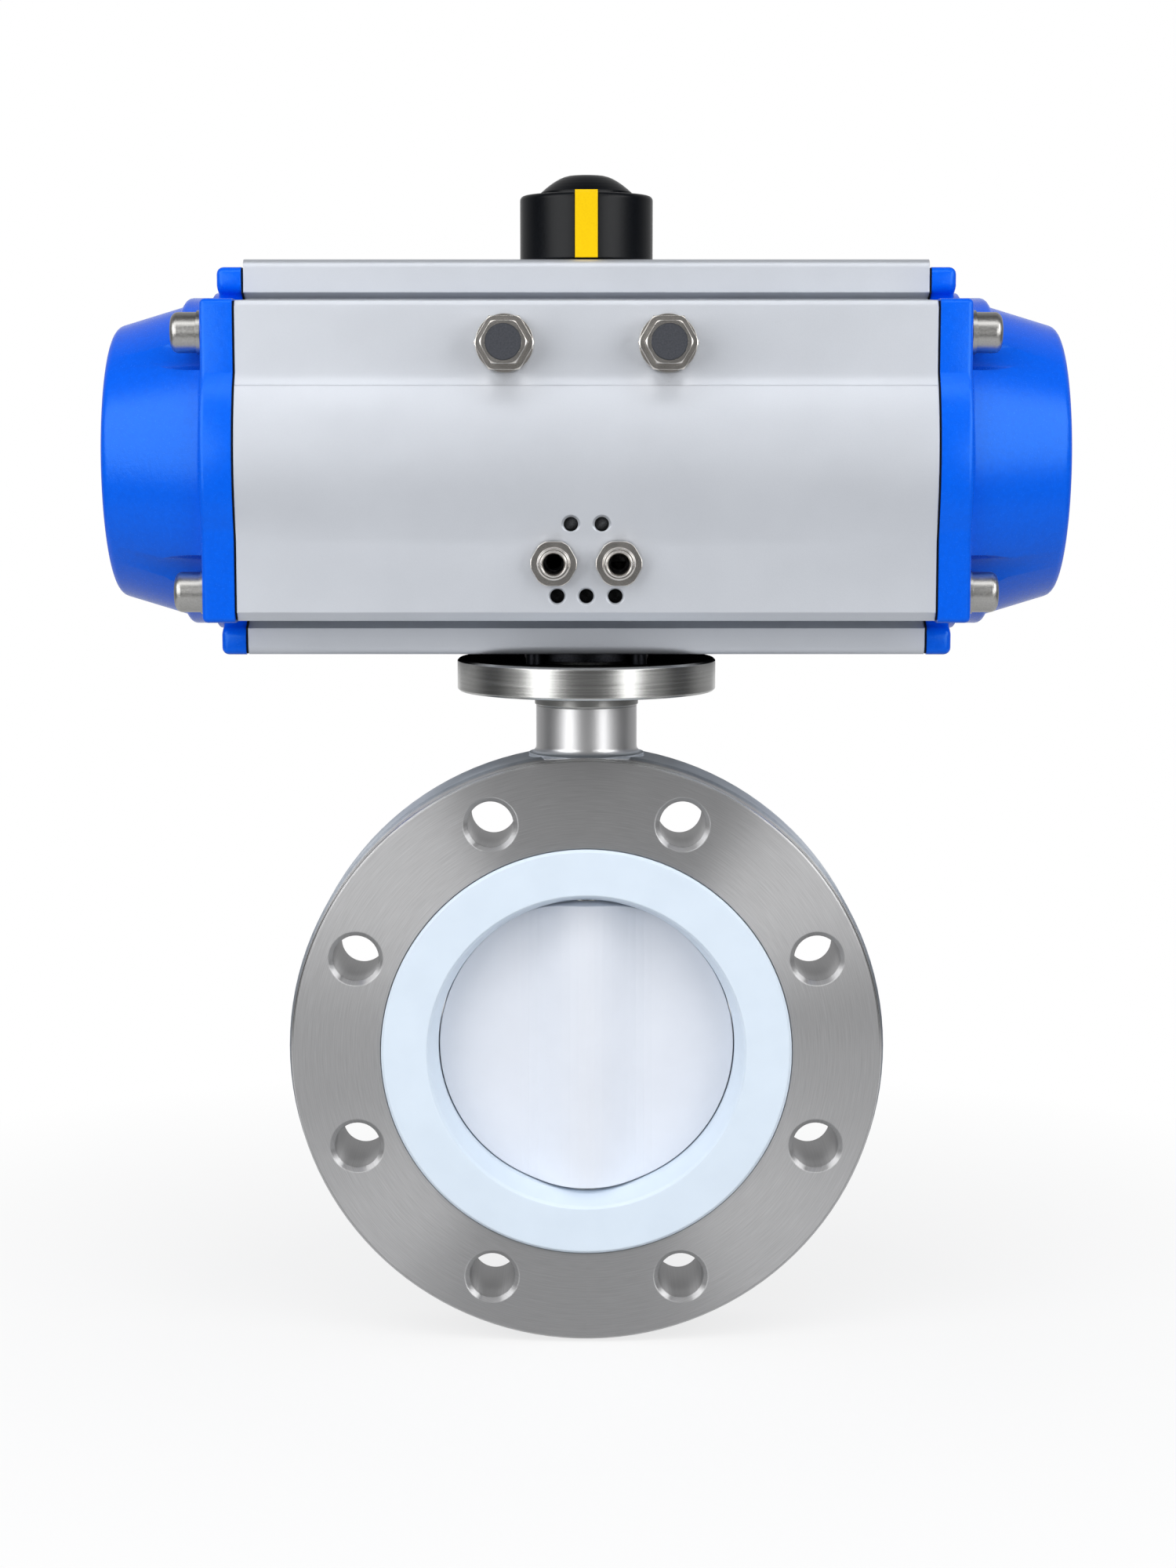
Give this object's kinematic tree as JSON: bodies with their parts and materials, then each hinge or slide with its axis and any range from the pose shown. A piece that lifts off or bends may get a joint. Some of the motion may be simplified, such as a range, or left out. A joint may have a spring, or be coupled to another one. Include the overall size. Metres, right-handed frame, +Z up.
{
  "type": "pneumatic butterfly valve",
  "caption": "Flanged, lined butterfly valve turned a quarter turn by a double-acting rack-and-pinion air actuator with a position indicator.",
  "frame": {"origin": "centre of the pipe bore, midway between the valve's two faces", "axes": "+Y along the pipe away from the side with the air ports, +Z up along the valve stem to the actuator, +X along the actuator's cylinder"},
  "size_m": [0.446, 0.1852, 0.5613],
  "materials": {
    "cast_stainless": "turned faces, cast band",
    "machined_stainless": "turned and polished",
    "fluoroplastic": "smooth satin white",
    "elastomer": "plain",
    "bearing_bronze": "turned",
    "bearing_plastic": "plain",
    "anodised_aluminium": "fine bead-blasted and anodised",
    "piston_aluminium": "die-cast and turned",
    "blue_coated_aluminium": "blue powder coat, light orange peel",
    "nickel_steel": "nickel-plated",
    "spring_steel": "blackened",
    "alloy_steel": "machined",
    "grey_plastic": "matte",
    "black_plastic": "moulded, satin",
    "yellow_plastic": "smooth"
  },
  "bodies": {
    "housing": {"valve_body": "cast_stainless", "top_flange": "machined_stainless", "seat_liner": "fluoroplastic", "liner_backing": "elastomer", "stem_thrust_washer": "bearing_bronze", "neck_lower_bush": "bearing_bronze", "neck_upper_bush": "bearing_bronze", "stem_seals": "elastomer", "gland_ring": "machined_stainless", "gland_circlip": "spring_steel", "bottom_bush": "bearing_bronze", "bottom_plug": "machined_stainless", "bottom_plug_seal": "elastomer", "spacer_ring": "machined_stainless", "mounting_screws": "nickel_steel", "actuator_housing": "anodised_aluminium", "end_cap_left": "blue_coated_aluminium", "end_cap_right": "blue_coated_aluminium", "cap_gasket_left": "elastomer", "cap_gasket_right": "elastomer", "cap_screws_left": "nickel_steel", "cap_screws_right": "nickel_steel", "cap_washers_left": "nickel_steel", "cap_washers_right": "nickel_steel", "pinion_lower_bearing": "bearing_plastic", "pinion_upper_bearing": "bearing_plastic", "thrust_washer": "bearing_plastic", "stop_screw_left": "nickel_steel", "stop_screw_right": "nickel_steel", "stop_nut_left": "nickel_steel", "stop_nut_right": "nickel_steel", "stop_screw_plugs": "grey_plastic", "air_fitting_a": "nickel_steel", "air_fitting_b": "nickel_steel", "fitting_seals": "elastomer"},
    "shaft": {"disc_core": "machined_stainless", "disc_lining": "fluoroplastic", "upper_stem": "machined_stainless", "lower_stem": "machined_stainless", "pinion": "alloy_steel", "pinion_seals": "elastomer", "pinion_circlip": "spring_steel", "stop_cam": "alloy_steel", "indicator_cap": "black_plastic", "indicator_strip": "yellow_plastic", "indicator_dome": "black_plastic", "indicator_screw": "nickel_steel"},
    "piston_right": {"piston_right": "piston_aluminium", "piston_seal_right": "elastomer", "wear_ring_right": "bearing_plastic", "rack_pad_right": "bearing_plastic"},
    "piston_left": {"piston_left": "piston_aluminium", "piston_seal_left": "elastomer", "wear_ring_left": "bearing_plastic", "rack_pad_left": "bearing_plastic"}
  },
  "joints": [
    {"name": "valve_turn", "type": "hinge", "parent": "housing", "child": "shaft", "pos_m": [0, 0, 0], "axis": [0, 0, 1], "range_deg": [0, 90]},
    {"name": "piston_right_slide", "type": "slide", "parent": "housing", "child": "piston_right", "axis": [1, 0, 0], "range_m": [0, 0.044]},
    {"name": "piston_left_slide", "type": "slide", "parent": "housing", "child": "piston_left", "axis": [-1, 0, 0], "range_m": [0, 0.044]}
  ],
  "couplings": [
    {"joint": "piston_right_slide", "follows": "valve_turn", "m_per_rad": 0.028},
    {"joint": "piston_left_slide", "follows": "valve_turn", "m_per_rad": 0.028}
  ]
}
